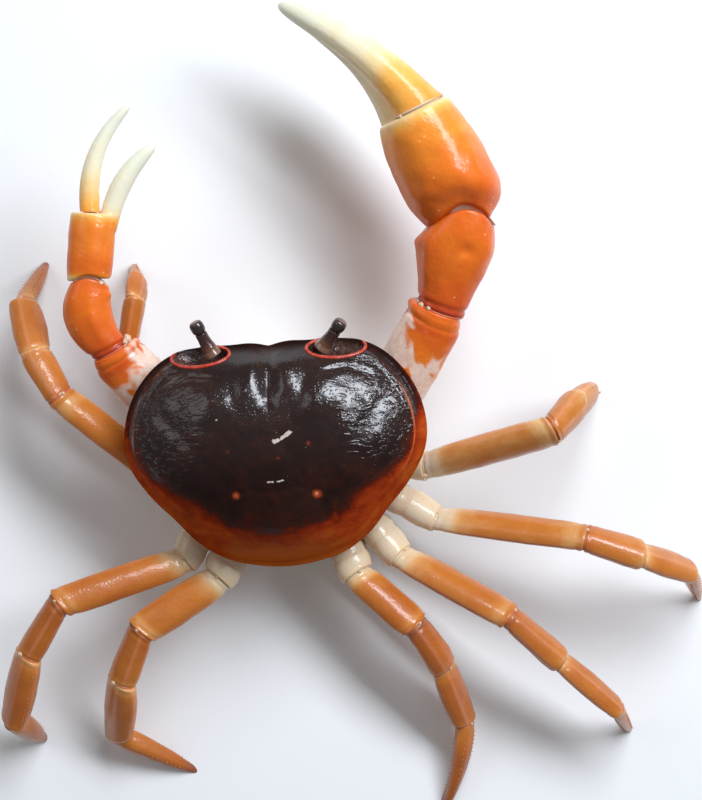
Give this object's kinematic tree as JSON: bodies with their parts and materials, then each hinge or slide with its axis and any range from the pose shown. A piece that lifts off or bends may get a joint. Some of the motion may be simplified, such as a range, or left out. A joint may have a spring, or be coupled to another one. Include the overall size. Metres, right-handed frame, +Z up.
{
  "type": "freshwater crab",
  "caption": "Still life-size model of a freshwater crab with a dark domed carapace, amber legs and unequal orange claws, standing on its leg tips.",
  "frame": {"origin": "middle of the floor under the crab, at the bottom centre of its box", "axes": "+Z up from the floor, -Y the way the crab faces, +X to the crab's left"},
  "size_m": [0.0979, 0.1131, 0.0262],
  "materials": {
    "carapace_shell": "gloss",
    "claw_shell": "gloss",
    "finger_ivory": "satin",
    "leg_shell": "satin",
    "underside_shell": "satin",
    "stalk": "gloss",
    "cornea": "gloss"
  },
  "bodies": {
    "root": {"carapace": "carapace_shell", "sternum": "underside_shell", "abdomen": "underside_shell", "mouth_frame": "leg_shell", "left_maxilliped": "underside_shell", "right_maxilliped": "underside_shell", "left_eyestalk": "stalk", "right_eyestalk": "stalk", "left_eye": "cornea", "right_eye": "cornea", "right_claw_base": "underside_shell", "right_claw_merus": "claw_shell", "right_claw_carpus": "claw_shell", "right_claw_palm": "claw_shell", "right_claw_finger": "finger_ivory", "left_claw_base": "underside_shell", "left_claw_merus": "claw_shell", "left_claw_carpus": "claw_shell", "left_claw_palm": "claw_shell", "left_claw_finger": "finger_ivory", "right_leg_1_base": "underside_shell", "right_leg_1_merus": "leg_shell", "right_leg_1_carpus": "leg_shell", "right_leg_1_propodus": "leg_shell", "right_leg_1_dactyl": "leg_shell", "right_leg_2_base": "underside_shell", "right_leg_2_merus": "leg_shell", "right_leg_2_carpus": "leg_shell", "right_leg_2_propodus": "leg_shell", "right_leg_2_dactyl": "leg_shell", "right_leg_3_base": "underside_shell", "right_leg_3_merus": "leg_shell", "right_leg_3_carpus": "leg_shell", "right_leg_3_propodus": "leg_shell", "right_leg_3_dactyl": "leg_shell", "right_leg_4_base": "underside_shell", "right_leg_4_merus": "leg_shell", "right_leg_4_carpus": "leg_shell", "right_leg_4_propodus": "leg_shell", "right_leg_4_dactyl": "leg_shell", "left_leg_1_base": "underside_shell", "left_leg_1_merus": "leg_shell", "left_leg_1_carpus": "leg_shell", "left_leg_1_propodus": "leg_shell", "left_leg_1_dactyl": "leg_shell", "left_leg_2_base": "underside_shell", "left_leg_2_merus": "leg_shell", "left_leg_2_carpus": "leg_shell", "left_leg_2_propodus": "leg_shell", "left_leg_2_dactyl": "leg_shell", "left_leg_3_base": "underside_shell", "left_leg_3_merus": "leg_shell", "left_leg_3_carpus": "leg_shell", "left_leg_3_propodus": "leg_shell", "left_leg_3_dactyl": "leg_shell", "left_leg_4_base": "underside_shell", "left_leg_4_merus": "leg_shell", "left_leg_4_carpus": "leg_shell", "left_leg_4_propodus": "leg_shell", "left_leg_4_dactyl": "leg_shell"}
  },
  "joints": []
}
